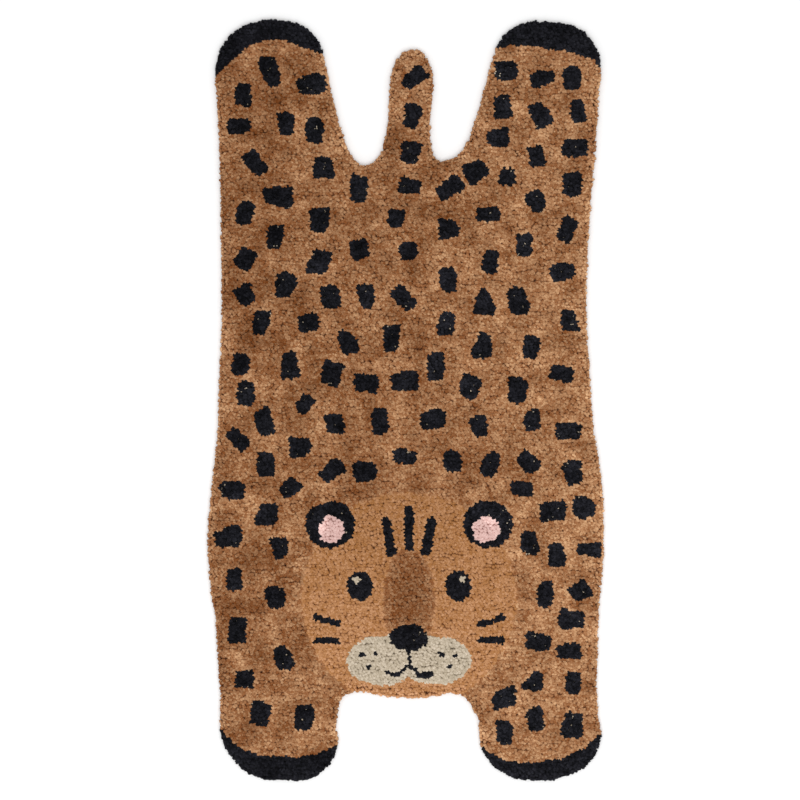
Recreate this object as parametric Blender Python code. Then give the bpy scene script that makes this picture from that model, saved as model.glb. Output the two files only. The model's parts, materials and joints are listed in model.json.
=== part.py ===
# Animal shaped rug for a child's room: a spotted big cat lying flat, head down in the picture.
# One tufted mat, made in one piece: four legs, a tail and a chin in its outline, a short cut
# pile that rounds over at the rim, and a flat underside that lies on the floor.
# Metres, +Z up, +X to the right, +Y towards the tail. Origin: middle of the underside.

from collections import namedtuple

import bmesh
import bpy
from mathutils import Vector, noise

# Driving sizes
RUG_WIDTH = 0.755  # over the widest paws
RUG_LENGTH = 1.450  # from the front toes to the hind toes
PILE_TOP = 0.015  # the pile's usual height over the floor
BELLY_LOW = 0.006  # the rim bulges most from this height
BELLY_HIGH = 0.008  # up to this one
LUMP_HEIGHT = 0.0011  # how far the uneven pile rises or sinks
LUMP_WIDTHS = (0.110, 0.047)  # a broad swell with a shorter one on it
TOP_CELL = 0.020  # spacing of the points that carry the lumps
OUTLINE_STEPS = 4  # points for each stretch between two anchors

MM = 0.001
TINY = 1e-6

# Anchors of the outline, clockwise from the tail's tip: millimetres to the right of the
# middle, and millimetres towards the tail.
Anchor = namedtuple("Anchor", "across along")

TAIL_RIGHT_SIDE = (
    Anchor(16, 671),
    Anchor(37, 660),
    Anchor(49, 635),
    Anchor(53, 600),
    Anchor(47, 525),
    Anchor(50, 486),
    Anchor(61, 461),
)
RIGHT_HIND_LEG = (
    Anchor(76, 458),
    Anchor(97, 468),
    Anchor(119, 497),
    Anchor(136, 548),
    Anchor(153, 606),
    Anchor(165, 650),
    Anchor(177, 683),
    Anchor(199, 707),
    Anchor(226, 721),
    Anchor(268, 723),
    Anchor(314, 717),
    Anchor(347, 698),
    Anchor(367, 665),
    Anchor(373, 630),
    Anchor(367, 575),
)
RIGHT_FLANK = (
    Anchor(363, 490),
    Anchor(354, 385),
    Anchor(346, 240),
    Anchor(345, 185),
    Anchor(350, 75),
    Anchor(359, -55),
    Anchor(370, -125),
    Anchor(377, -195),
    Anchor(377, -290),
    Anchor(370, -390),
)
RIGHT_FORELEG = (
    Anchor(365, -500),
    Anchor(367, -600),
    Anchor(373, -643),
    Anchor(365, -673),
    Anchor(341, -702),
    Anchor(300, -720),
    Anchor(232, -726),
    Anchor(187, -713),
    Anchor(155, -685),
    Anchor(141, -650),
    Anchor(138, -612),
    Anchor(126, -586),
)
CHIN = (
    Anchor(112, -567),
    Anchor(86, -560),
    Anchor(60, -566),
    Anchor(28, -569),
    Anchor(-29, -567),
    Anchor(-62, -561),
    Anchor(-105, -559),
)
LEFT_FORELEG = (
    Anchor(-119, -569),
    Anchor(-131, -612),
    Anchor(-128, -656),
    Anchor(-140, -690),
    Anchor(-163, -714),
    Anchor(-195, -726),
    Anchor(-240, -726),
    Anchor(-288, -718),
    Anchor(-321, -696),
    Anchor(-343, -663),
    Anchor(-353, -630),
    Anchor(-353, -560),
)
LEFT_FLANK = (
    Anchor(-357, -505),
    Anchor(-363, -415),
    Anchor(-373, -345),
    Anchor(-377, -265),
    Anchor(-371, -180),
    Anchor(-360, -75),
    Anchor(-355, 30),
    Anchor(-351, 150),
    Anchor(-351, 300),
    Anchor(-354, 450),
)
LEFT_HIND_LEG = (
    Anchor(-359, 570),
    Anchor(-362, 630),
    Anchor(-355, 666),
    Anchor(-336, 694),
    Anchor(-309, 716),
    Anchor(-275, 725),
    Anchor(-238, 727),
    Anchor(-205, 719),
    Anchor(-177, 702),
    Anchor(-160, 673),
    Anchor(-147, 618),
    Anchor(-130, 545),
    Anchor(-116, 499),
    Anchor(-94, 458),
)
TAIL_LEFT_SIDE = (
    Anchor(-73, 450),
    Anchor(-54, 463),
    Anchor(-40, 500),
    Anchor(-32, 560),
    Anchor(-27, 625),
    Anchor(-14, 655),
)
OUTLINE = (
    *TAIL_RIGHT_SIDE,
    *RIGHT_HIND_LEG,
    *RIGHT_FLANK,
    *RIGHT_FORELEG,
    *CHIN,
    *LEFT_FORELEG,
    *LEFT_FLANK,
    *LEFT_HIND_LEG,
    *TAIL_LEFT_SIDE,
)

# The rim's section. Each step goes inwards from the one before it, and up or down.
RimStep = namedtuple("RimStep", "inwards rise")
TOP_OF_RIM = (
    RimStep(0.0015, 0.0035),
    RimStep(0.0035, 0.0025),
    RimStep(0.0080, PILE_TOP - BELLY_HIGH - 0.0060),
)
# Under the bulge the tufts stand on the ground cloth, whose cut edge is set back.
UNDER_RIM = (
    RimStep(0.0035, 0.0040),
    RimStep(0.0005, BELLY_LOW - 0.0040),
)


def clear_scene():
    for obj in list(bpy.data.objects):
        bpy.data.objects.remove(obj)


def pile_material():
    """Tan cotton yarn, cut to a matt pile."""
    material = bpy.data.materials.new("cotton_pile")
    material.use_nodes = True
    shader = material.node_tree.nodes["Principled BSDF"]
    shader.inputs["Base Color"].default_value = (0.353, 0.174, 0.080, 1.0)
    shader.inputs["Roughness"].default_value = 0.95
    shader.inputs["Metallic"].default_value = 0.0
    return material


def outline_curve(collection):
    """The rug's outline as a flat curve, as thick as the band where the rim bulges most."""
    curve = bpy.data.curves.new("rug_outline", "CURVE")
    curve.dimensions = "2D"
    curve.fill_mode = "BOTH"
    curve.extrude = (BELLY_HIGH - BELLY_LOW) / 2
    curve.resolution_u = OUTLINE_STEPS
    spline = curve.splines.new("BEZIER")
    spline.bezier_points.add(len(OUTLINE) - 1)
    for point, anchor in zip(spline.bezier_points, OUTLINE):
        point.co = (anchor.across * MM, anchor.along * MM, 0.0)
        point.handle_left_type = "AUTO"
        point.handle_right_type = "AUTO"
    spline.use_cyclic_u = True
    obj = bpy.data.objects.new("rug_outline", curve)
    collection.objects.link(obj)
    return obj


def band_mesh(curve_object):
    """The curve's filled band as a bmesh, of the rug's exact width and length."""
    bpy.context.view_layer.update()
    graph = bpy.context.evaluated_depsgraph_get()
    mesh = bpy.data.meshes.new_from_object(curve_object.evaluated_get(graph))
    band = bmesh.new()
    band.from_mesh(mesh)
    bpy.data.meshes.remove(mesh)
    bmesh.ops.remove_doubles(band, verts=band.verts, dist=TINY)

    low = Vector(min(v.co[axis] for v in band.verts) for axis in range(3))
    high = Vector(max(v.co[axis] for v in band.verts) for axis in range(3))
    middle = (low + high) / 2
    size = high - low
    for vertex in band.verts:
        vertex.co.x = (vertex.co.x - middle.x) * RUG_WIDTH / size.x
        vertex.co.y = (vertex.co.y - middle.y) * RUG_LENGTH / size.y
        vertex.co.z += (BELLY_LOW + BELLY_HIGH) / 2 - middle.z
    return band


def flat_face(band, height):
    """Joins the faces that lie flat at a height into one."""
    flat = [f for f in band.faces if all(abs(v.co.z - height) < TINY for v in f.verts)]
    if len(flat) > 1:
        flat = bmesh.ops.dissolve_faces(band, faces=flat)["region"]
    return flat[0]


def round_over(band, face, steps):
    """Steps the face inwards and away from the band, which leaves the rim's section behind."""
    for step in steps:
        bmesh.ops.inset_region(
            band,
            faces=[face],
            thickness=step.inwards,
            depth=step.rise,
            use_even_offset=True,
        )


def cut_into_cells(band, face):
    """Cuts a flat face into square cells, so that it has points to carry the lumps."""
    pieces = [*face.verts, *face.edges, face]
    for axis, length in enumerate((RUG_WIDTH, RUG_LENGTH)):
        direction = Vector((0.0, 0.0, 0.0))
        direction[axis] = 1.0
        cuts = int(length / TOP_CELL / 2)
        for number in range(-cuts, cuts + 1):
            pieces = bmesh.ops.bisect_plane(
                band,
                geom=pieces,
                dist=TINY,
                plane_co=direction * number * TOP_CELL,
                plane_no=direction,
            )["geom"]


def lump(place):
    """How far the uneven pile stands over or under its usual height at a place."""
    broad, short = (noise.noise(place / width) for width in LUMP_WIDTHS)
    return LUMP_HEIGHT * (broad + short / 2)


def raise_lumps(band):
    """Moves the points inside the top up or down. Those on its edge stay on the rim."""
    top = {f for f in band.faces if all(abs(v.co.z - PILE_TOP) < TINY for v in f.verts)}
    inside = [v for v in band.verts if top.issuperset(v.link_faces)]
    for vertex in inside:
        vertex.co.z += lump(vertex.co)


def make_rug(collection, helpers):
    guide = outline_curve(helpers)
    band = band_mesh(guide)
    bpy.data.objects.remove(guide)

    top = flat_face(band, BELLY_HIGH)
    round_over(band, top, TOP_OF_RIM)
    bottom = flat_face(band, BELLY_LOW)
    round_over(band, bottom, UNDER_RIM)
    cut_into_cells(band, top)
    raise_lumps(band)
    bmesh.ops.triangulate(band, faces=band.faces)
    bmesh.ops.recalc_face_normals(band, faces=band.faces)

    mesh = bpy.data.meshes.new("tufted_rug")
    band.to_mesh(mesh)
    band.free()
    mesh.materials.append(pile_material())
    mesh.shade_smooth()
    rug = bpy.data.objects.new("tufted_rug", mesh)
    collection.objects.link(rug)
    return rug


def main():
    clear_scene()
    parts = bpy.data.collections.new("animal_shaped_rug")
    helpers = bpy.data.collections.new("helpers")
    for collection in (parts, helpers):
        bpy.context.scene.collection.children.link(collection)
    make_rug(parts, helpers)


main()
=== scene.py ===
import json
from math import pi, sqrt, tau

import bmesh
import bpy
import numpy as np
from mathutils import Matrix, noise
from mathutils.bvhtree import BVHTree
from mathutils.kdtree import KDTree

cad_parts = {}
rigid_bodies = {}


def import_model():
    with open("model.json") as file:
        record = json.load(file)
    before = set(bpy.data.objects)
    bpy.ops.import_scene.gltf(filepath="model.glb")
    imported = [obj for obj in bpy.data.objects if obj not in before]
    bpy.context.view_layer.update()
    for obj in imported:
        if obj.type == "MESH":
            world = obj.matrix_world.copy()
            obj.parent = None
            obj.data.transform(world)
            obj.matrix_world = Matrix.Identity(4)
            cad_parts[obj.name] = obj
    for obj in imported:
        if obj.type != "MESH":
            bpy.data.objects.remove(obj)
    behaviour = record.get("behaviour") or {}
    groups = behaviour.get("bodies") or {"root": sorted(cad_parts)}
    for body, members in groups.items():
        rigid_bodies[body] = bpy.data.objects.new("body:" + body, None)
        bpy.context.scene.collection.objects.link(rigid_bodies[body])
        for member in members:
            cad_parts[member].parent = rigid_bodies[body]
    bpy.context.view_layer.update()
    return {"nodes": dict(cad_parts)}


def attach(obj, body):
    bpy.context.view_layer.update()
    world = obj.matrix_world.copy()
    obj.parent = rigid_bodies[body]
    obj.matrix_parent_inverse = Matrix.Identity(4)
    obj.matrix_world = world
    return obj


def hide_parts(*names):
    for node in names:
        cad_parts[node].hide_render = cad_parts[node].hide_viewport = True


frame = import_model()
mm = 0.001
rugSolid = frame["nodes"]["tufted_rug"].data

cloth = {
    "thickness": 0.002,  # the ground cloth, which lies on the floor
    "edgeStep": 0.004,  # spacing of the points along its cut edge
    "edgeWander": 0.0004,  # how far the scissors strayed
    "threadMm": 1.1,  # one thread of its plain weave
    "footDepth": 0.0005,  # how far the tufts' feet sink into it
    "seed": 4,
    "undyed": ("dccfb8", "a3957c"),  # its pale and dark threads, seen from below
    "shadedRoots": ("6b3f1c", "46270f"),  # and on its upper side, between the tufts: the yarn roots' colour, darkened with painted shade
}

pile = {
    "pitch": 0.0050,  # from one tuft to the next in a row
    "rowPitch": 0.0038,
    "jitter": 0.22,  # how far a tuft strays along its row, as a share of the pitch
    "rowJitter": 0.13,  # and out of it
    "rowWave": 0.0022,  # how far the rows wander
    "rowWaves": (0.060, 0.035),  # size of those waves, across and along the rug
    "rimPitch": 0.0038,
    "rimInset": 0.0058,  # the outermost tufts' stitches lie this far inside the outline
    "rimStray": 0.0009,  # how far they stray in or out
    "rimSpace": 0.55,  # from them to the field's nearest tufts, as a share of the pitch
    "rimLean": 0.38,  # their slope outwards
    "rimFade": 0.0070,  # how quickly that slope dies away
    "rimCalm": 0.3,  # how much less the rim is brushed
    "rimTop": 0.010,  # least height of the pile, near and past the CAD rug's rim
    "tuftWidth": 0.0084,
    "tuftDepth": 0.0064,
    "tipReach": 0.0168,  # from a stitch to where its tip is, for each unit of slope
    "rimGirth": 0.80,  # width of the rim's tufts, as a share of the others'
    "turn": 0.9,  # how far a tuft may be turned from its row, in radians
    "widthSpread": 0.16,
    "heightSpread": 0.045,
    "wander": 0.11,  # how far a tuft leans of its own accord
    # Where two yarns meet, as among these nearest stitches, the tufts are cut fuller and
    # straighter, as shares of the others' width and wander.
    "neighbours": 7,
    "borderGirth": 1.12,
    "borderWander": 0.3,
    "strays": 0.050,  # share of the black marks' tufts that are stray ends of grey yarn
    "strayGirth": 0.50,  # their width and length, as shares of the others'
    "strayRise": 0.72,
    "seed": 11,
    "seedStep": 20,  # from one piece's seed to the next
}

nap = {
    "patchAcross": 0.034,  # size of the brushed patches
    "patchAlong": 0.026,
    "lean": 0.16,  # how strongly the patches lean their tufts
    # Rows lean together or apart, which leaves short partings between them: their length,
    # how far they are from each other, and how strong they are.
    "partings": (0.042, 0.0078, 0.36),
    # painted pile shading, lighter and darker areas where the nap lies differently: their size,
    # strength and layer of noise
    "areas": ((0.019, 0.60, 5.2), (0.046, 0.85, 8.2), (0.190, 0.40, 69.39)),
    "paintedLightToRight": 0.27,  # painted light: how much lighter the right edge is than the middle
    "onHead": 0.15,  # how much of that painted shading and light shows on the head, which is brushed more evenly
    "rim": 0.5,  # painted light: how much lighter the rim is
}

# the layer of noise that each unevenness reads, so that no two are alike
layers = {"rows": 2.6, "patches": 1.3, "partings": 9.4, "edgesAcross": 3.1, "edgesAlong": 7.7}

# how ragged the marks' edges are: tuft by tuft, and in waves of a size
markEdge = {"stray": 0.0002, "wave": 0.0012, "waveSize": 0.013}

spots = {
    "count": 112,
    "trials": 26000,  # random places that they are chosen from and spaced out by
    "area": 0.00139,  # of one spot, in square metres
    "areaSpread": 0.13,
    "stretch": 1.36,  # length over width
    "stretchSpread": 0.18,
    "leastStretch": 1.1,
    "halfWidth": 0.53,  # of a spot, as a share of its mean width
    "upright": 0.56,  # shares of the spots that stand upright, and that lie across
    "across": 0.24,
    "tilt": 0.13,  # how far they stray from that, in radians
    "slant": (0.3, 0.9),  # and how far the rest are turned
    "skew": 0.13,
    "taper": 0.14,
    "blockiness": (3.0, 6.5),  # from soft corners to squarer ones
    "rimGap": 0.010,
    "headGap": 0.024,
    "toeGap": 0.026,
    "evenings": 20,  # rounds of spacing out
    "stray": 0.005,  # how far each then strays
    "seed": 5,
    # The tail's are given one by one, in mm. The others stay out of the tail, which this gives by
    # its middle, half width and start, in metres.
    "onTail": ((17, 612), (12, 541), (9, 470)),
    "tail": (0.012, 0.075, 0.440),
}

# where the black toes begin, as points across each paw in mm
toes = {
    "hindLeft": ((-366, 604), (-318, 656), (-262, 684), (-205, 675), (-150, 655)),
    "hindRight": ((156, 664), (220, 672), (280, 666), (335, 654), (376, 624)),
    "foreLeft": ((-358, -611), (-314, -658), (-245, -676), (-185, -675), (-124, -645)),
    "foreRight": ((136, -642), (180, -679), (222, -689), (290, -680), (376, -624)),
}

# the face, in mm from the rug's middle; what is paired stands on both sides of "middle"
face = {
    "middle": 6,
    "head": (0, -378, 204, 204),  # across, along, half width, half length
    "bridge": (0, -380, 50, 100),
    "bridgeShade": 0.7,  # how much darker its middle is
    "bridgeFade": 1.6,  # how quickly it darkens from its edge
    "chinLight": 0.3,  # how much lighter the chin is than the head's middle
    "ear": (150, -236, 47, 45),
    "innerEar": (147, -246, 25, 24),
    "eye": (93, -352, 25, 29),
    "glint": (100, -341, 7, 7),
    "stripes": (((0, -208), (0, -276)), ((42, -232), (33, -288))),
    "stripeWidth": 19,
    "dashes": (((134, -426), (176, -412)), ((136, -456), (176, -456))),
    "dashWidth": 12,
    "muzzle": (51, -494, 68, 47),
    "nose": (0, -452, 36, 26),
    "mouth": ((0, -470), (0, -504), (20, -522), (42, -518)),
    "mouthWidth": 8,
    "whiskers": ((62, -480), (88, -484), (78, -506)),
    "whiskerSize": 5,
}

# What the darkest and the palest tufts show, the painted shade down between them, and how much
# fuzz catches the light.
yarns = {
    "tan": {"deep": "6e3606", "light": "c09a74", "root": "823e05", "fuzz": 0.02},
    "golden": {"deep": "8c5a2a", "light": "c79a76", "root": "935a24", "fuzz": 0.02},
    "black": {"deep": "010103", "light": "28282e", "root": "030303", "fuzz": 0.02},
    "grey": {"deep": "9a8d78", "light": "ccbfad", "root": "8b7d67", "fuzz": 0.04},
    "pink": {"deep": "c29d96", "light": "e2c3bc", "root": "b3867e", "fuzz": 0.04},
}
yarnNames = list(yarns)

# the twisted strands of a tuft, with finer and finer fibres in them
strand = {"width": 0.0017, "length": 0.007, "fineness": 3, "depth": 0.0004}
yarnMix = {
    "tone": 0.40,  # how much a tuft's own tone, its strands and the painted shading of lighter and darker areas count
    "strands": 1.20,
    "areas": 0.16,
    "brightness": 0.27,  # painted light and shade: how much brighter the whole yarn is in a lighter area
    "start": -0.24,
    "tips": 0.62,  # how much of its own colour a tuft shows at its root, the rest being painted shade
}


def outlineAt(height):
    # the corners of the CAD rug's rim at a height, in order round it
    mesh = bmesh.new()
    mesh.from_mesh(rugSolid)
    bmesh.ops.remove_doubles(mesh, verts=mesh.verts, dist=1e-6)
    cut = bmesh.ops.bisect_plane(
        mesh,
        geom=[*mesh.verts, *mesh.edges, *mesh.faces],
        plane_co=(0, 0, height),
        plane_no=(0, 0, 1),
    )["geom_cut"]
    ring = {item for item in cut if isinstance(item, bmesh.types.BMEdge)}
    corners = [corner for edge in ring for corner in edge.verts]
    first = corner = min(corners, key=lambda c: (c.co.y, c.co.x))
    ways = [edge for edge in corner.link_edges if edge in ring]
    edge = max(ways, key=lambda e: e.other_vert(first).co.x)
    places = []
    while True:
        places.append(corner.co.xy[:])
        corner = edge.other_vert(corner)
        if corner == first:
            break
        edge = next(e for e in corner.link_edges if e in ring and e != edge)
    mesh.free()
    return np.array(places)


def areaInside(ring):
    # the area inside a closed outline, below zero where it runs clockwise
    x, y = ring.T
    return np.sum(x * np.roll(y, -1) - np.roll(x, -1) * y) / 2


def walkAlong(ring, step):
    # places at even steps round a closed outline, and the way straight in from each
    ends = np.vstack([ring, ring[:1]])
    lengths = np.hypot(*np.diff(ends, axis=0).T)
    reached = np.concatenate([[0], np.cumsum(lengths)])
    wanted = np.linspace(0, reached[-1], round(reached[-1] / step), endpoint=False)
    places = np.stack([np.interp(wanted, reached, axis) for axis in ends.T], 1)
    along = np.roll(places, -1, 0) - np.roll(places, 1, 0)
    inwards = np.stack([-along[:, 1], along[:, 0]], 1) * np.sign(areaInside(ring))
    return places, inwards / np.linalg.norm(inwards, axis=1, keepdims=True)


def fromRim(places):
    # how far inside the rim each place lies, below zero outside it, and the way to the rim
    start = rimOutline
    run = np.roll(start, -1, 0) - start
    inside, ways = [], []
    atOnce = 2000  # places, to spare the memory
    for some in np.array_split(places, len(places) // atOnce + 1):
        off = some[:, None] - start
        share = (off * run).sum(2) / (run * run).sum(1)
        off = share.clip(0, 1)[..., None] * run - off
        gaps = np.hypot(*np.moveaxis(off, 2, 0))
        nearest = gaps.argmin(1)
        rows = np.arange(len(some))
        gap = gaps[rows, nearest]
        above = some[:, None, 1] < start[:, 1]
        crossing = above != np.roll(above, -1, 1)
        where = (some[:, None, 1] - start[:, 1]) / np.where(run[:, 1] == 0, 1, run[:, 1])
        left = some[:, None, 0] < start[:, 0] + where * run[:, 0]
        sign = np.where((crossing & left).sum(1) % 2, 1, -1)
        inside.append(gap * sign)
        ways.append(off[rows, nearest] / np.maximum(gap, 1e-9)[:, None] * sign[:, None])
    return np.concatenate(inside), np.concatenate(ways)


def softNoise(places, across, along, layer):
    # smooth random hills from about -1 to 1, of a size across and along the rug
    return np.array([noise.noise((x / across, y / along, layer)) for x, y in places])


print("reading the outline")
bulgeHeight, cutEdgeHeight = 0.007, 0.001  # of the CAD rug's rim
rimOutline = outlineAt(bulgeHeight)
clothOutline = outlineAt(cutEdgeHeight)


def inEllipse(places, across, along, halfWidth, halfLength):
    # inside an ellipse that is given in mm
    x, y = (places / mm - (across, along)).T
    return np.hypot(x / halfWidth, y / halfLength) < 1


def nearLine(places, line, width):
    # within half a width of a line through some points, all in mm
    nearest = np.full(len(places), np.inf)
    for a, b in zip(line, line[1:]):
        run = np.subtract(b, a)
        off = places / mm - a
        share = ((off @ run) / (run @ run)).clip(0, 1)
        nearest = np.minimum(nearest, np.hypot(*(off - share[:, None] * run).T))
    return nearest < width / 2


def inToes(places, margin=0):
    # beyond the toe line of a paw, one smooth curve through its points, or up to a margin
    # short of it
    x, y = places.T / mm
    found = np.zeros(len(places), bool)
    for line in toes.values():
        across, along = np.transpose(line)
        curve = np.polyfit(across, along, len(line) - 1)
        start = np.polyval(curve, x.clip(across[0], across[-1]))
        side = np.sign(along[0])
        found |= (x > across[0]) & (x < across[-1]) & (side * (y - start) > -margin / mm)
    return found


def mirrored(places):
    # both halves of the face as its right half, with its middle at zero
    across, along = (places - (face["middle"] * mm, 0)).T
    return np.stack([abs(across), along], 1)


def spreadSpots():
    # the spots' middles: random places on the rug, evened out a few times
    rng = np.random.default_rng(spots["seed"])
    low, high = rimOutline.min(0), rimOutline.max(0)
    room = rng.uniform(low, high, (spots["trials"], 2))
    gap = spots["headGap"] / mm
    head, ear = (np.add(face[part], (0, 0, gap, gap)) for part in ("head", "ear"))
    middle, halfWidth, start = spots["tail"]
    tail = (abs(room[:, 0] - middle) < halfWidth) & (room[:, 1] > start)
    room = room[
        (fromRim(room)[0] > spots["rimGap"])
        & ~inEllipse(mirrored(room), *head)
        & ~inEllipse(mirrored(room), *ear)
        & ~inToes(room, spots["toeGap"])
        & ~tail
    ]
    middles = room[rng.choice(len(room), spots["count"], replace=False)]
    for _ in range(spots["evenings"]):
        nearest = ((room[:, None] - middles) ** 2).sum(2).argmin(1)
        middles = np.array([room[nearest == i].mean(0) for i in range(len(middles))])
    middles += rng.normal(0, spots["stray"], middles.shape)
    return np.vstack([middles, np.array(spots["onTail"]) * mm])


def inSpots(places):
    # blocky spots with soft corners, each a little askew
    rng = np.random.default_rng(spots["seed"] + 1)
    found = np.zeros(len(places), bool)
    for middle in spreadSpots():
        area = spots["area"] * (1 + spots["areaSpread"] * rng.normal())
        stretch = spots["stretch"] + spots["stretchSpread"] * rng.normal()
        stretch = max(spots["leastStretch"], stretch)
        halfWidth = sqrt(area / stretch) * spots["halfWidth"]
        kind = rng.uniform()
        turn = rng.normal(0, spots["tilt"])
        if kind > 1 - spots["across"]:
            turn += pi / 2
        elif kind > spots["upright"]:
            turn += rng.choice([-1, 1]) * rng.uniform(*spots["slant"])
        skew, taper = rng.normal(0, spots["skew"]), rng.normal(0, spots["taper"])
        power = rng.uniform(*spots["blockiness"])
        x, y = (places - middle).T
        x, y = x * np.cos(turn) + y * np.sin(turn), y * np.cos(turn) - x * np.sin(turn)
        y = y / (halfWidth * stretch)
        x = (x / halfWidth - skew * y) / (1 + taper * y)
        found |= abs(x) ** power + abs(y) ** power < 1
    return found


def yarnAt(places):
    # the yarn of each tuft, as a place in yarnNames, and which tufts are stray ends
    rng = np.random.default_rng(pile["seed"] + 1)
    ragged = places + rng.normal(0, markEdge["stray"], places.shape)
    size = markEdge["waveSize"]
    for axis, layer in enumerate((layers["edgesAcross"], layers["edgesAlong"])):
        ragged[:, axis] += markEdge["wave"] * softNoise(places, size, size, layer)
    half = mirrored(ragged)
    chosen = np.full(len(places), yarnNames.index("tan"))

    def give(yarn, where):
        chosen[where] = yarnNames.index(yarn)

    give("black", inSpots(ragged))
    give("golden", inEllipse(half, *face["head"]))
    give("tan", inEllipse(half, *face["bridge"]))
    give("grey", inEllipse(half, *face["muzzle"]))
    for lines, width in (("stripes", "stripeWidth"), ("dashes", "dashWidth")):
        for line in face[lines]:
            give("black", nearLine(half, line, face[width]))
    give("black", inEllipse(half, *face["ear"]))
    give("pink", inEllipse(half, *face["innerEar"]))
    give("black", inEllipse(half, *face["eye"]))
    give("grey", inEllipse(half, *face["glint"]))
    give("black", inEllipse(half, *face["nose"]))
    give("black", nearLine(half, face["mouth"], face["mouthWidth"]))
    for across, along in face["whiskers"]:
        radius = face["whiskerSize"]
        give("black", inEllipse(half, across, along, radius, radius))
    give("black", inToes(ragged))
    strays = (chosen == yarnNames.index("black")) & ~inToes(ragged)
    strays &= rng.uniform(size=len(places)) < pile["strays"]
    give("grey", strays)
    return chosen, strays


def sowTufts():
    # the stitches: uneven rows in the field, and a ring of the outermost tufts
    rng = np.random.default_rng(pile["seed"])
    pitch = pile["pitch"]
    low, high = rimOutline.min(0), rimOutline.max(0)
    columns = np.arange(low[0], high[0], pitch)
    rows = np.arange(low[1], high[1], pile["rowPitch"])
    x, y = np.meshgrid(columns, rows)
    x[::2] += pitch / 2
    field = np.stack([x.ravel(), y.ravel()], 1)
    jitter = pile["jitter"] * pitch, pile["rowJitter"] * pile["rowPitch"]
    field += rng.uniform(-1, 1, field.shape) * jitter
    field[:, 1] += pile["rowWave"] * softNoise(field, *pile["rowWaves"], layers["rows"])
    field = field[fromRim(field)[0] > pile["rimInset"] + pile["rimSpace"] * pitch]
    edge, inwards = walkAlong(rimOutline, pile["rimPitch"])
    edge = edge + inwards * pile["rimInset"]
    edge += rng.normal(0, pile["rimStray"], edge.shape)
    return np.vstack([field, edge])


def rimFadeOf(depth):
    # one at the outermost tufts, and soon nothing further in
    return np.exp(-(depth - pile["rimInset"]).clip(0) / pile["rimFade"])


def standingOf(places, atBorder):
    # the slope of each tuft, from brushed patches, partings, the rim and its own whim, and
    # its width, which is less at the rim
    rng = np.random.default_rng(pile["seed"] + 2)
    depth, outwards = fromRim(places)
    fade = rimFadeOf(depth)
    size = nap["patchAcross"], nap["patchAlong"]
    step = 0.002  # over which a patch's slope is taken
    moves = (0, 0), (step, 0), (0, step)
    hills = [softNoise(places + move, *size, layers["patches"]) for move in moves]
    brushed = np.stack([hills[1] - hills[0], hills[2] - hills[0]], 1) / step
    lean = nap["lean"] * brushed * nap["patchAlong"]
    across, along, strength = nap["partings"]
    lean[:, 1] += strength * softNoise(places, across, along, layers["partings"])
    whim = rng.normal(0, pile["wander"], places.shape)
    whim[atBorder] *= pile["borderWander"]
    lean += whim
    lean *= 1 - pile["rimCalm"] * fade[:, None]
    lean += outwards * (pile["rimLean"] * fade)[:, None]
    return lean, 1 - (1 - pile["rimGirth"]) * fade


def shadeOf(places):
    # how much lighter or darker the pile is painted in one area than another: painted pile
    # shading, painted light to the right and at the rim, a lighter chin, and the darker bridge of
    # the face
    shade = np.zeros(len(places))
    for size, strength, layer in nap["areas"]:
        shade += strength * softNoise(places, size, size, layer)
    shade += nap["paintedLightToRight"] * places[:, 0] / rimOutline[:, 0].max()
    half = mirrored(places)
    onHead = inEllipse(half, *face["head"])
    _, along, _, halfLength = face["head"]
    shade[onHead] *= nap["onHead"]
    shade[onHead] += face["chinLight"] * (along - half[onHead, 1] / mm) / halfLength
    shade += nap["rim"] * rimFadeOf(fromRim(places)[0])
    across, along, halfWidth, halfLength = face["bridge"]
    x, y = (half / mm - (across, along)).T
    off = np.hypot(x / halfWidth, y / halfLength)
    return shade - face["bridgeShade"] * (face["bridgeFade"] * (1 - off)).clip(0, 1)


def meetsAnother(places, yarnOf):
    # whether a tuft has one of another yarn beside it
    tree = KDTree(len(places))
    for number, (x, y) in enumerate(places):
        tree.insert((x, y, 0), number)
    tree.balance()
    near = (tree.find_n((x, y, 0), pile["neighbours"]) for x, y in places)
    return np.array(
        [any(yarnOf[i] != own for _, i, _ in found) for found, own in zip(near, yarnOf)]
    )


def pileTopAt(places):
    # the height of the CAD rug's top, and nothing past its rim
    solid = bmesh.new()
    solid.from_mesh(rugSolid)
    tree = BVHTree.FromBMesh(solid)
    solid.free()
    hits = (tree.ray_cast((x, y, 1), (0, 0, -1))[0] for x, y in places)
    return np.array([hit.z if hit else 0.0 for hit in hits])


print("sowing the tufts")
stitches = sowTufts()
yarnOf, strays = yarnAt(stitches)
atBorder = meetsAnother(stitches, np.where(strays, yarnNames.index("black"), yarnOf))
leans, girths = standingOf(stitches, atBorder)
tips = stitches + leans * pile["tipReach"]
footHeight = cloth["thickness"] - cloth["footDepth"]
rises = pileTopAt(tips).clip(pile["rimTop"], None) - footHeight
girths[strays] *= pile["strayGirth"]
girths[atBorder] *= pile["borderGirth"]
rises[strays] *= pile["strayRise"]
shades = shadeOf(stitches)
isYarn = {name: yarnOf == i for i, name in enumerate(yarnNames)}
print(len(stitches), "tufts", {name: int(which.sum()) for name, which in isYarn.items()})


def addNode(tree, kind, inputs=(), give=None, **settings):
    # Adds a node. Its inputs, numbers or other nodes' outputs, come in the order of its
    # sockets or by name. It gives back one output, the first unless another is named.
    node = tree.nodes.new(kind)
    for name, value in settings.items():
        setattr(node, name, value)
    sockets = [socket for socket in node.inputs if socket.enabled]
    if isinstance(inputs, dict):
        sockets = [next(s for s in sockets if s.name == name) for name in inputs]
        inputs = inputs.values()
    for socket, value in zip(sockets, inputs):
        if isinstance(value, bpy.types.NodeSocket):
            tree.links.new(value, socket)
        else:
            socket.default_value = value
    outputs = [socket for socket in node.outputs if socket.enabled]
    return next((s for s in outputs if give in (None, s.name)), None)


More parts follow.
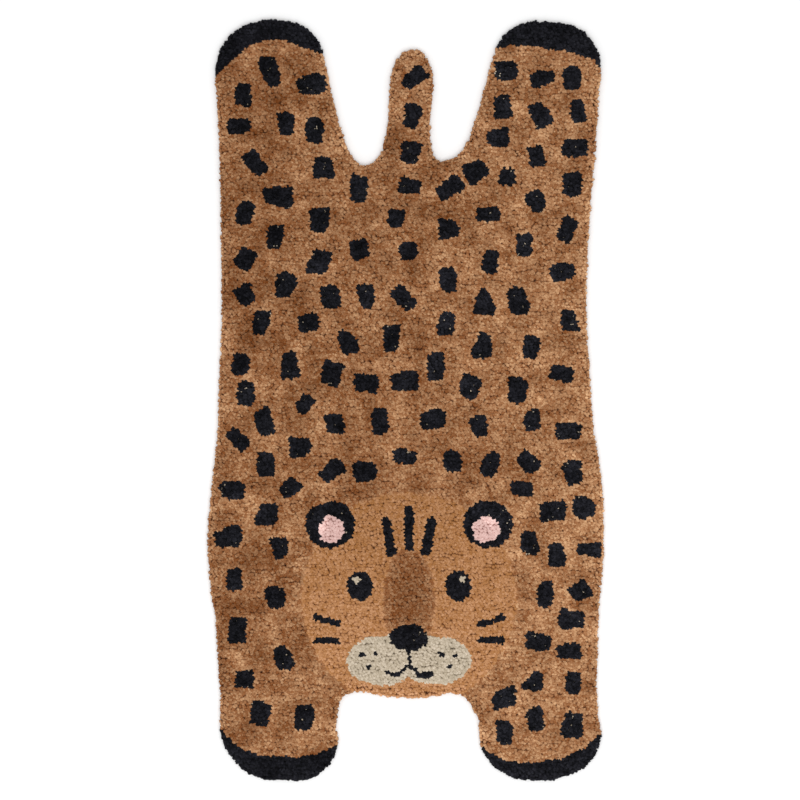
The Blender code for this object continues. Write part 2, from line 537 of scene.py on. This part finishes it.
def linear(hexColour):
    # an sRGB hex colour as the linear numbers that Blender reads
    parts = [int(hexColour[i : i + 2], 16) / 255 for i in (0, 2, 4)]
    return (*(p / 12.92 if p <= 0.04045 else ((p + 0.055) / 1.055) ** 2.4 for p in parts), 1)


def cottonPile(name, yarn):
    # Cut cotton yarn: matt, with painted shade darker down between the tufts, each tuft a little
    # lighter or darker than the next, with a soft fuzz that catches the light at its tips.
    material = bpy.data.materials.new(name)
    material.use_nodes = True
    tree = material.node_tree
    shader = tree.nodes["Principled BSDF"]
    tone, shade, height = (
        addNode(tree, "ShaderNodeAttribute", give="Fac", attribute_name=label)
        for label in ("tone", "shade", "height")
    )
    place = addNode(tree, "ShaderNodeTexCoord", give="Object")

    # The strands run up each tuft, so the pattern is drawn out along Z.
    across, up = 1 / strand["width"], 1 / strand["length"]
    drawnOut = addNode(
        tree, "ShaderNodeMapping", {"Vector": place, "Scale": (across, across, up)}
    )
    strands = addNode(
        tree,
        "ShaderNodeTexNoise",
        {"Vector": drawnOut, "Scale": 1, "Detail": strand["fineness"], "Roughness": 0.65},
    )

    # How light the yarn is: its own tone, its strands, and the painted shading of the area of the
    # rug it is in. Squared at the end, it goes from deep to light in steps that look even.
    lightness = yarnMix["start"]
    for value, part in ((tone, "tone"), (strands, "strands"), (shade, "areas")):
        lightness = addNode(
            tree,
            "ShaderNodeMath",
            (value, yarnMix[part], lightness),
            operation="MULTIPLY_ADD",
            use_clamp=part == "areas",
        )
    lightness = addNode(tree, "ShaderNodeMath", (lightness, 2), operation="POWER")
    colour = addNode(
        tree,
        "ShaderNodeMix",
        (lightness, linear(yarn["deep"]), linear(yarn["light"])),
        data_type="RGBA",
    )
    # Painted shade: towards its root a tuft takes on the darker root colour, as shade falls down
    # between the tufts.
    paintedShadeMix = addNode(
        tree,
        "ShaderNodeMapRange",
        {"Value": height, "From Min": 0.2, "From Max": 0.95, "To Min": yarnMix["tips"]},
    )
    colour = addNode(
        tree, "ShaderNodeMix", (paintedShadeMix, linear(yarn["root"]), colour), data_type="RGBA"
    )
    # Painted light and shade: a lighter area is also painted brighter, a darker one dimmer.
    brightness = addNode(
        tree, "ShaderNodeMath", (shade, yarnMix["brightness"], 1), operation="MULTIPLY_ADD"
    )
    colour = addNode(tree, "ShaderNodeVectorMath", (colour, brightness), operation="SCALE")
    tree.links.new(colour, shader.inputs["Base Color"])
    bump = addNode(
        tree, "ShaderNodeBump", {"Height": strands, "Strength": 0.4, "Distance": strand["depth"]}
    )
    tree.links.new(bump, shader.inputs["Normal"])
    shader.inputs["Roughness"].default_value = 0.92
    shader.inputs["Specular IOR Level"].default_value = 0.05
    shader.inputs["Sheen Weight"].default_value = yarn["fuzz"]
    shader.inputs["Sheen Roughness"].default_value = 0.5
    return material


# one tuft, whose width at the shoulder is one and whose height is one
tuft = {
    "footRadius": 0.85,  # it spreads where it stands among the others
    "shoulderRadius": 0.5,
    "shoulderHeight": 0.86,
    "unevenSides": 0.18,  # how far every other corner is turned
    "shapes": ((5, 0.06), (5, -0.12), (4, 0.10)),  # sides, and how far askew the tip is
    # Laid flat for painting, it is a disc with its tip in the middle: the radius of its
    # foot and its shoulder there, and of its root, which has a corner of its own.
    "flatFoot": 0.47,
    "flatShoulder": 0.28,
    "flatRoot": 0.08,
}


def tuftShape(name, sides, lop):
    # a cut end of yarn: broad at its foot, narrower at the shoulder, and cut off at the top
    # a little to one side
    mesh = bmesh.new()
    rings = []
    for radius, height in (
        (tuft["footRadius"], 0.0),
        (tuft["shoulderRadius"], tuft["shoulderHeight"]),
    ):
        turns = [tau * (i + tuft["unevenSides"] * (i % 2)) / sides for i in range(sides)]
        rings.append(
            [mesh.verts.new((radius * np.cos(t), radius * np.sin(t), height)) for t in turns]
        )
    tip = mesh.verts.new((lop, lop / 2, 1.0))
    foot, shoulder = rings
    root = mesh.faces.new(foot[::-1])
    walls = [
        mesh.faces.new((foot[i], foot[(i + 1) % sides], shoulder[(i + 1) % sides], shoulder[i]))
        for i in range(sides)
    ]
    tops = [mesh.faces.new((shoulder[i], shoulder[(i + 1) % sides], tip)) for i in range(sides)]
    for item in mesh.faces:
        item.smooth = True

    flat = mesh.loops.layers.uv.new("disc")
    reach = dict.fromkeys(foot, tuft["flatFoot"]) | {tip: 0.0}
    reach |= dict.fromkeys(shoulder, tuft["flatShoulder"])
    for item in [*walls, *tops]:
        for corner in item.loops:
            x, y, _ = corner.vert.co
            out = np.array((x, y)) / np.hypot(x, y) * reach[corner.vert]
            corner[flat].uv = out + 0.5
    for corner in root.loops:
        x, y, _ = corner.vert.co
        size = tuft["flatRoot"]
        corner[flat].uv = (size + size * x, size - size * y)
    data = bpy.data.meshes.new(name)
    mesh.to_mesh(data)
    heights = data.attributes.new("height", "FLOAT", "POINT")
    heights.data.foreach_set("value", [v.co.z for v in data.vertices])
    mesh.free()
    return bpy.data.objects.new(name, data)


def tuftTree():
    # stands a tuft on every stitch, leaning as its "lean" says and as long as its "rise"
    tree = bpy.data.node_groups.new("standTufts", "GeometryNodeTree")
    for name, kind in (
        ("Stitches", "NodeSocketGeometry"),
        ("Tuft Shapes", "NodeSocketCollection"),
        ("Shape Count", "NodeSocketInt"),
        ("Tuft Width", "NodeSocketFloat"),
        ("Tuft Depth", "NodeSocketFloat"),
        ("Turn", "NodeSocketFloat"),
        ("Width Spread", "NodeSocketFloat"),
        ("Height Spread", "NodeSocketFloat"),
        ("Foot Height", "NodeSocketFloat"),
        ("Seed", "NodeSocketInt"),
        ("Yarn", "NodeSocketMaterial"),
    ):
        tree.interface.new_socket(name, in_out="INPUT", socket_type=kind)
    tree.interface.new_socket("Pile", in_out="OUTPUT", socket_type="NodeSocketGeometry")
    given = addNode(tree, "NodeGroupInput").node.outputs
    lean, rise, girth, disc, square = (
        addNode(tree, "GeometryNodeInputNamedAttribute", {"Name": label}, data_type=kind)
        for label, kind in (
            ("lean", "FLOAT_VECTOR"),
            ("rise", "FLOAT"),
            ("girth", "FLOAT"),
            ("disc", "FLOAT_VECTOR"),
            ("square", "FLOAT_VECTOR"),
        )
    )
    shares = {}
    for offset, use in enumerate(("width", "depth", "height", "turn", "shape", "tone")):
        seed = addNode(tree, "ShaderNodeMath", (given["Seed"], offset), operation="ADD")
        shares[use] = addNode(tree, "FunctionNodeRandomValue", {"Seed": seed}, data_type="FLOAT")

    # Every length is its usual one, give or take the spread.
    width, depth = (
        addNode(tree, "ShaderNodeMath", (given[label], girth), operation="MULTIPLY")
        for label in ("Tuft Width", "Tuft Depth")
    )
    sizes = []
    for usual, spread, share in (
        (width, given["Width Spread"], shares["width"]),
        (depth, given["Width Spread"], shares["depth"]),
        (rise, given["Height Spread"], shares["height"]),
    ):
        least = addNode(tree, "ShaderNodeMath", (1, spread), operation="SUBTRACT")
        span = addNode(tree, "ShaderNodeMath", (spread, 2), operation="MULTIPLY")
        factor = addNode(tree, "ShaderNodeMath", (share, span, least), operation="MULTIPLY_ADD")
        sizes.append(addNode(tree, "ShaderNodeMath", (usual, factor), operation="MULTIPLY"))
    size = addNode(tree, "ShaderNodeCombineXYZ", sizes)

    leaning = addNode(tree, "FunctionNodeAlignRotationToVector", {"Vector": lean}, axis="Z")
    spin = addNode(tree, "ShaderNodeMath", (shares["turn"], 0.5), operation="SUBTRACT")
    spin = addNode(tree, "ShaderNodeMath", (spin, given["Turn"]), operation="MULTIPLY")
    spin = addNode(tree, "ShaderNodeCombineXYZ", (0, 0, spin))
    spin = addNode(tree, "FunctionNodeEulerToRotation", (spin,))
    turned = addNode(tree, "FunctionNodeRotateRotation", (leaning, spin), rotation_space="LOCAL")
    shapes = addNode(tree, "GeometryNodeCollectionInfo", (given["Tuft Shapes"], True, True))
    choice = shares["shape"], given["Shape Count"]
    choice = addNode(tree, "ShaderNodeMath", choice, operation="MULTIPLY")
    choice = addNode(tree, "ShaderNodeMath", (choice,), operation="FLOOR")
    tufts = addNode(
        tree,
        "GeometryNodeInstanceOnPoints",
        {
            "Points": given["Stitches"],
            "Instance": shapes,
            "Pick Instance": True,
            "Instance Index": choice,
            "Rotation": turned,
            "Scale": size,
        },
    )

    # Each tuft's disc gets its own square of the painting map, row by row.
    count = addNode(
        tree, "GeometryNodeAttributeDomainSize", (given["Stitches"],), component="MESH"
    )
    squares = addNode(tree, "ShaderNodeMath", (count,), operation="SQRT")
    squares = addNode(tree, "ShaderNodeMath", (squares,), operation="CEIL")
    index = addNode(tree, "GeometryNodeInputIndex")
    row = addNode(tree, "ShaderNodeMath", (index, squares), operation="DIVIDE")
    row = addNode(tree, "ShaderNodeMath", (row,), operation="FLOOR")
    before = addNode(tree, "ShaderNodeMath", (row, squares), operation="MULTIPLY")
    column = addNode(tree, "ShaderNodeMath", (index, before), operation="SUBTRACT")
    corner = addNode(tree, "ShaderNodeCombineXYZ", (column, row))
    for label, kind, value in (
        ("tone", "FLOAT", shares["tone"]),
        ("square", "FLOAT_VECTOR", corner),
    ):
        tufts = addNode(
            tree,
            "GeometryNodeStoreNamedAttribute",
            {"Geometry": tufts, "Name": label, "Value": value},
            data_type=kind,
            domain="INSTANCE",
        )
    whole = addNode(tree, "GeometryNodeRealizeInstances", (tufts,))

    # No foot goes down through the cloth, however much its tuft leans.
    place = addNode(tree, "GeometryNodeInputPosition")
    parts = addNode(tree, "ShaderNodeSeparateXYZ", (place,)).node.outputs
    lifted = parts["Z"], given["Foot Height"]
    lifted = addNode(tree, "ShaderNodeMath", lifted, operation="MAXIMUM")
    place = addNode(tree, "ShaderNodeCombineXYZ", (parts["X"], parts["Y"], lifted))
    whole = addNode(tree, "GeometryNodeSetPosition", {"Geometry": whole, "Position": place})
    laid = addNode(tree, "ShaderNodeVectorMath", (square, disc), operation="ADD")
    part = addNode(tree, "ShaderNodeMath", (1, squares), operation="DIVIDE")
    laid = addNode(tree, "ShaderNodeVectorMath", (laid, part), operation="SCALE")
    whole = addNode(
        tree,
        "GeometryNodeStoreNamedAttribute",
        {"Geometry": whole, "Name": "OFBake", "Value": laid},
        data_type="FLOAT2",
        domain="CORNER",
    )
    whole = addNode(
        tree, "GeometryNodeSetMaterial", {"Geometry": whole, "Material": given["Yarn"]}
    )
    addNode(tree, "NodeGroupOutput", (whole,))
    return tree


def makePile(name, which, material, seed):
    # one plain mesh of all the tufts that stand on some of the stitches
    mesh = bpy.data.meshes.new(name)
    roots = np.column_stack([stitches[which], np.full(which.sum(), footHeight)])
    mesh.from_pydata(roots.tolist(), [], [])
    slope = np.column_stack([leans[which], np.ones(which.sum())])
    length = rises[which] * np.linalg.norm(slope, axis=1)
    for label, kind, field, values in (
        ("lean", "FLOAT_VECTOR", "vector", slope),
        ("girth", "FLOAT", "value", girths[which]),
        ("rise", "FLOAT", "value", length),
        ("shade", "FLOAT", "value", shades[which]),
    ):
        mesh.attributes.new(label, kind, "POINT").data.foreach_set(field, values.ravel())
    obj = bpy.data.objects.new(name, mesh)
    bpy.context.scene.collection.objects.link(obj)
    modifier = obj.modifiers.new("standTufts", "NODES")
    modifier.node_group = standTufts
    values = {
        "Tuft Shapes": tuftShapes,
        "Shape Count": len(tuftShapes.objects),
        "Tuft Width": pile["tuftWidth"],
        "Tuft Depth": pile["tuftDepth"],
        "Turn": 2 * pile["turn"],
        "Width Spread": pile["widthSpread"],
        "Height Spread": pile["heightSpread"],
        "Foot Height": footHeight,
        "Seed": seed,
        "Yarn": material,
    }
    for item in standTufts.interface.items_tree:
        if item.name in values:
            modifier[item.identifier] = values[item.name]
    bpy.context.view_layer.update()
    graph = bpy.context.evaluated_depsgraph_get()
    whole = bpy.data.meshes.new_from_object(obj.evaluated_get(graph), depsgraph=graph)
    obj.modifiers.remove(modifier)
    obj.data = whole
    whole.name = name
    bpy.data.meshes.remove(mesh)
    for spare in ("lean", "rise", "girth", "square", "disc"):
        if spare in whole.attributes:
            whole.attributes.remove(whole.attributes[spare])
    triangles = sum(len(p.vertices) - 2 for p in whole.polygons)
    print(name, which.sum(), "tufts,", triangles, "triangles")
    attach(obj, "root")
    return obj


print("standing the tufts")
tuftShapes = bpy.data.collections.new("tuftShapes")
for number, (sides, lop) in enumerate(tuft["shapes"]):
    tuftShapes.objects.link(tuftShape(f"tuft{number}", sides, lop))
standTufts = tuftTree()
materials = {name: cottonPile(name + "CottonPile", yarn) for name, yarn in yarns.items()}

# The tan pile is divided across the rug, so that no piece is too large: from where to where
# each lies, towards the tail.
tanPieces = {
    "tanPileHindLegs": (0.36, np.inf),
    "tanPileBack": (0.03, 0.36),
    "tanPileShoulders": (-0.30, 0.03),
    "tanPileForelegs": (-np.inf, -0.30),
}
toeMargin = 0.004  # black tufts this near a toe line are the toes' own
toeTufts = isYarn["black"] & inToes(stitches, toeMargin)
faceTufts = isYarn["black"] & ~toeTufts & inEllipse(stitches, face["middle"], *face["head"][1:])
along = stitches[:, 1]
pieces = {
    name: ("tan", isYarn["tan"] & (along > start) & (along <= end))
    for name, (start, end) in tanPieces.items()
}
pieces |= {
    "goldenPileHead": ("golden", isYarn["golden"]),
    "blackPileSpots": ("black", isYarn["black"] & ~toeTufts & ~faceTufts),
    "blackPileToes": ("black", toeTufts),
    "blackPileFace": ("black", faceTufts),
    "greyPileMuzzle": ("grey", isYarn["grey"] & ~strays),
    "greyPileStrays": ("grey", strays),
    "pinkPileEars": ("pink", isYarn["pink"]),
}
for number, (name, (yarn, which)) in enumerate(pieces.items()):
    piece = makePile(name, which, materials[yarn], pile["seedStep"] * number)


def wovenCotton(name, pale, dark):
    # Plain weave cotton: round threads that cross over and under each other, matt, with
    # thread after thread a little lighter or darker.
    material = bpy.data.materials.new(name)
    material.use_nodes = True
    tree = material.node_tree
    shader = tree.nodes["Principled BSDF"]
    place = addNode(tree, "ShaderNodeTexCoord", give="Object")
    thread = cloth["threadMm"] * mm
    threads = []
    drawnOut = 0.02  # so that a thread's tone hardly changes along it
    for direction, along in (("X", (1, drawnOut, 0)), ("Y", (drawnOut, 1, 0))):
        # A wave texture's bands are tau / 20 apart at a scale of one.
        ridges = addNode(
            tree,
            "ShaderNodeTexWave",
            {"Vector": place, "Scale": tau / 20 / thread},
            give="Fac",
            wave_type="BANDS",
            bands_direction=direction,
        )
        single = addNode(tree, "ShaderNodeVectorMath", (place, along), operation="MULTIPLY")
        single = addNode(
            tree, "ShaderNodeTexNoise", {"Vector": single, "Scale": 0.7 / thread, "Detail": 1}
        )
        threads.append((ridges, single))
    onTop = addNode(
        tree, "ShaderNodeTexChecker", {"Vector": place, "Scale": 1 / thread}, give="Fac"
    )
    (warp, warpTone), (weft, weftTone) = threads
    height = addNode(tree, "ShaderNodeMix", (onTop, warp, weft), data_type="FLOAT")
    tone = addNode(tree, "ShaderNodeMix", (onTop, warpTone, weftTone), data_type="FLOAT")
    tone = addNode(tree, "ShaderNodeMath", (height, 0.45, tone), operation="MULTIPLY_ADD")
    share = addNode(
        tree, "ShaderNodeMapRange", {"Value": tone, "From Min": 0.25, "From Max": 1.05}
    )
    colour = addNode(
        tree, "ShaderNodeMix", (share, linear(dark), linear(pale)), data_type="RGBA"
    )
    tree.links.new(colour, shader.inputs["Base Color"])
    bump = addNode(
        tree, "ShaderNodeBump", {"Height": height, "Strength": 0.6, "Distance": 0.3 * thread}
    )
    tree.links.new(bump, shader.inputs["Normal"])
    shader.inputs["Roughness"].default_value = 0.9
    shader.inputs["Specular IOR Level"].default_value = 0.2
    return material


def makeCloth():
    # the ground cloth, cut a little unevenly, and its area
    rng = np.random.default_rng(cloth["seed"])
    edge, inwards = walkAlong(clothOutline, cloth["edgeStep"])
    edge = edge + inwards * (rng.uniform(0, 1, (len(edge), 1)) * cloth["edgeWander"])
    mesh = bmesh.new()
    under, upper = (
        [mesh.verts.new((*place, height)) for place in edge] for height in (0, cloth["thickness"])
    )
    mesh.faces.new(under[::-1])
    mesh.faces.new(upper).material_index = 1
    for i in range(len(edge)):
        mesh.faces.new((under[i - 1], under[i], upper[i], upper[i - 1]))
    mesh.normal_update()  # or the triangles would bridge the gaps beside the tail
    bmesh.ops.triangulate(mesh, faces=mesh.faces)
    bmesh.ops.recalc_face_normals(mesh, faces=mesh.faces)
    data = bpy.data.meshes.new("groundCloth")
    mesh.to_mesh(data)
    mesh.free()
    data.materials.append(wovenCotton("wovenCotton", *cloth["undyed"]))
    # Its upper side is the yarn roots' colour with painted shade, for where it shows between the
    # tufts.
    data.materials.append(wovenCotton("shadedRootsCotton", *cloth["shadedRoots"]))
    obj = bpy.data.objects.new("groundCloth", data)
    bpy.context.scene.collection.objects.link(obj)
    return obj, abs(areaInside(edge))


print("cutting the ground cloth")
groundCloth, clothArea = makeCloth()
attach(groundCloth, "root")
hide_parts("tufted_rug")


view = {
    "middle": (-0.0110, 0.0005),  # what the middle of the picture looks down on
    "width": 1.52,  # how much the picture takes in, at the height below
    "height": 0.012,
    "lens": 90,
    "sensor": 36,
    "farthest": 100,  # what the camera still sees
    "floor": "e9e9e9",
    "floorSize": 60,
    "floorGap": 0.0006,  # it lies this far under the rug
    "sky": 0.98,  # strength of the even light from all round
    "lamp": 40,  # watts
    "lampSize": 2.2,
    "lampPlace": (0.1, -0.8, 2.7),
}


def addFloor():
    bpy.ops.mesh.primitive_plane_add(size=view["floorSize"], location=(0, 0, -view["floorGap"]))
    floor = bpy.context.object
    floor.name = "floor"
    material = bpy.data.materials.new("palePaper")
    material.use_nodes = True
    shader = material.node_tree.nodes["Principled BSDF"]
    shader.inputs["Base Color"].default_value = linear(view["floor"])
    shader.inputs["Roughness"].default_value = 1.0
    shader.inputs["Specular IOR Level"].default_value = 0.0
    floor.data.materials.append(material)


def addLights():
    world = bpy.data.worlds.new("paleRoom")
    bpy.context.scene.world = world
    world.use_nodes = True
    sky = world.node_tree.nodes["Background"].inputs
    sky["Color"].default_value = (1, 1, 1, 1)
    sky["Strength"].default_value = view["sky"]
    light = bpy.data.lights.new("softBox", "AREA")
    light.shape = "SQUARE"
    light.size = view["lampSize"]
    light.energy = view["lamp"]
    lamp = bpy.data.objects.new("softBox", light)
    lamp.location = view["lampPlace"]
    bpy.context.scene.collection.objects.link(lamp)
    lamp.rotation_euler = (-lamp.location).to_track_quat("-Z", "Y").to_euler()


def addCamera():
    camera = bpy.data.cameras.new("camera")
    camera.lens = view["lens"]
    camera.sensor_width = view["sensor"]
    camera.clip_end = view["farthest"]
    obj = bpy.data.objects.new("camera", camera)
    distance = view["lens"] / view["sensor"] * view["width"]
    obj.location = (*view["middle"], distance + view["height"])
    bpy.context.scene.collection.objects.link(obj)
    bpy.context.scene.camera = obj
    bpy.context.scene.view_settings.view_transform = "Standard"


print("lighting the floor")
addFloor()
addLights()
addCamera()
for shape in list(tuftShapes.objects):
    bpy.data.objects.remove(shape)
bpy.data.collections.remove(tuftShapes)
